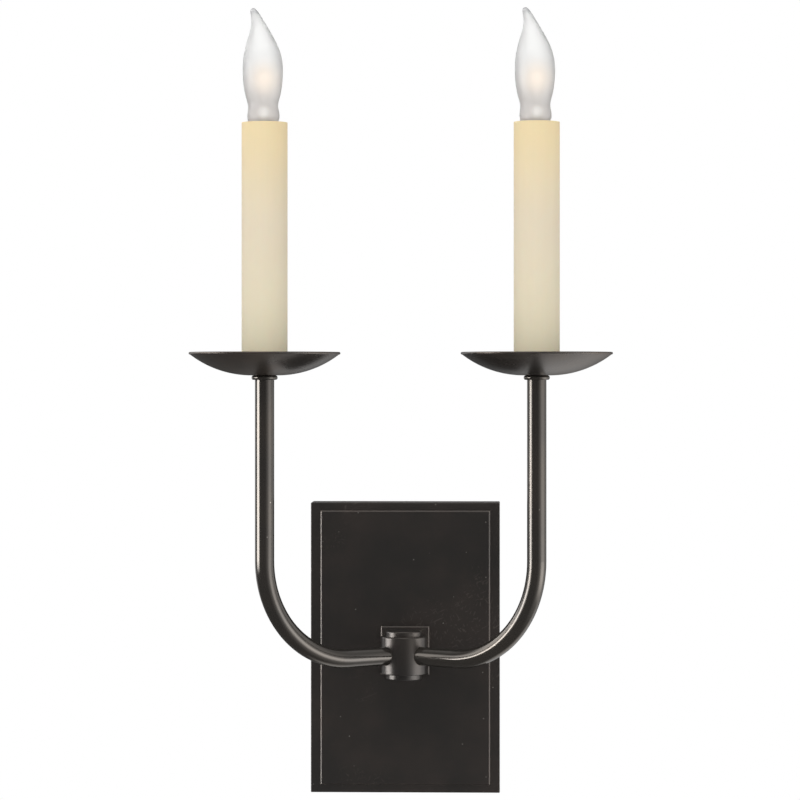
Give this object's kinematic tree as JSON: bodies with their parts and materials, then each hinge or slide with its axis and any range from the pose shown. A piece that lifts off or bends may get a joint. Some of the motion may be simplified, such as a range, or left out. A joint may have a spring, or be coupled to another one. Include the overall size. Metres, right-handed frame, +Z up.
{
  "type": "double arm wall sconce",
  "caption": "Wall light with a rectangular back plate, a round hub and curved arms that carry drip dishes, ivory candle sleeves and frosted flame bulbs.",
  "frame": {"origin": "middle of the back plate's outline on the wall plane, which is the middle of the crossbar's two screw slots", "axes": "+X to the right seen from the room, +Y into the wall, +Z up; the front looks along -Y"},
  "size_m": [0.2258, 0.1503, 0.4296],
  "materials": {
    "bronze_satin": "dark bronze, satin",
    "bronze_gloss": "dark bronze, glossy",
    "candle": "ivory, satin",
    "frosted_glass": "frosted white",
    "clear_glass": "clear",
    "brass": "bare brass",
    "nickel": "nickel plated",
    "zinc_steel": "zinc plated steel",
    "green_screw": "green finish",
    "black_insulator": "black glass",
    "black_phenolic": "moulded black",
    "tungsten": "bare tungsten wire",
    "wire_cover": "extruded white insulation",
    "wire_nut": "moulded orange",
    "bush": "moulded black nylon"
  },
  "bodies": {
    "fixture": {"backplate": "bronze_satin", "mounting_crossbar": "zinc_steel", "crossbar_ears": "zinc_steel", "plate_set_screws": "bronze_satin", "ground_screw": "green_screw", "hub_pad": "bronze_satin", "hub_neck": "bronze_gloss", "hub_nipple": "zinc_steel", "nipple_lock_washer": "zinc_steel", "nipple_nut": "zinc_steel", "nipple_bushing": "bush", "hub_barrel": "bronze_gloss", "barrel_top_cap": "bronze_gloss", "barrel_bottom_cap": "bronze_gloss", "wire_nuts": "wire_nut", "left_arm": "bronze_gloss", "left_collar": "bronze_gloss", "left_dish": "bronze_gloss", "left_dish_nut": "zinc_steel", "left_socket_bracket": "zinc_steel", "left_bracket_rivets": "nickel", "left_socket_body": "black_phenolic", "left_socket_shell": "brass", "left_socket_contact": "brass", "left_wire_bushing": "bush", "left_arm_wires": "wire_cover", "right_arm": "bronze_gloss", "right_collar": "bronze_gloss", "right_dish": "bronze_gloss", "right_dish_nut": "zinc_steel", "right_socket_bracket": "zinc_steel", "right_bracket_rivets": "nickel", "right_socket_body": "black_phenolic", "right_socket_shell": "brass", "right_socket_contact": "brass", "right_wire_bushing": "bush", "right_arm_wires": "wire_cover"},
    "left_sleeve": {"left_candle_sleeve": "candle"},
    "left_bulb": {"left_bulb_glass": "frosted_glass", "left_bulb_shell": "nickel", "left_bulb_insulator": "black_insulator", "left_bulb_contact": "nickel", "left_bulb_stem": "clear_glass", "left_bulb_leads": "nickel", "left_bulb_filament": "tungsten"},
    "right_sleeve": {"right_candle_sleeve": "candle"},
    "right_bulb": {"right_bulb_glass": "frosted_glass", "right_bulb_shell": "nickel", "right_bulb_insulator": "black_insulator", "right_bulb_contact": "nickel", "right_bulb_stem": "clear_glass", "right_bulb_leads": "nickel", "right_bulb_filament": "tungsten"}
  },
  "joints": [
    {"name": "left_sleeve_lift", "type": "slide", "parent": "fixture", "child": "left_sleeve", "axis": [0, 0, 1], "range_m": [0, 0.196]},
    {"name": "left_bulb_unscrew", "type": "slide", "parent": "fixture", "child": "left_bulb", "axis": [0, 0, 1], "range_m": [0, 0.045]},
    {"name": "right_sleeve_lift", "type": "slide", "parent": "fixture", "child": "right_sleeve", "axis": [0, 0, 1], "range_m": [0, 0.196]},
    {"name": "right_bulb_unscrew", "type": "slide", "parent": "fixture", "child": "right_bulb", "axis": [0, 0, 1], "range_m": [0, 0.045]}
  ]
}
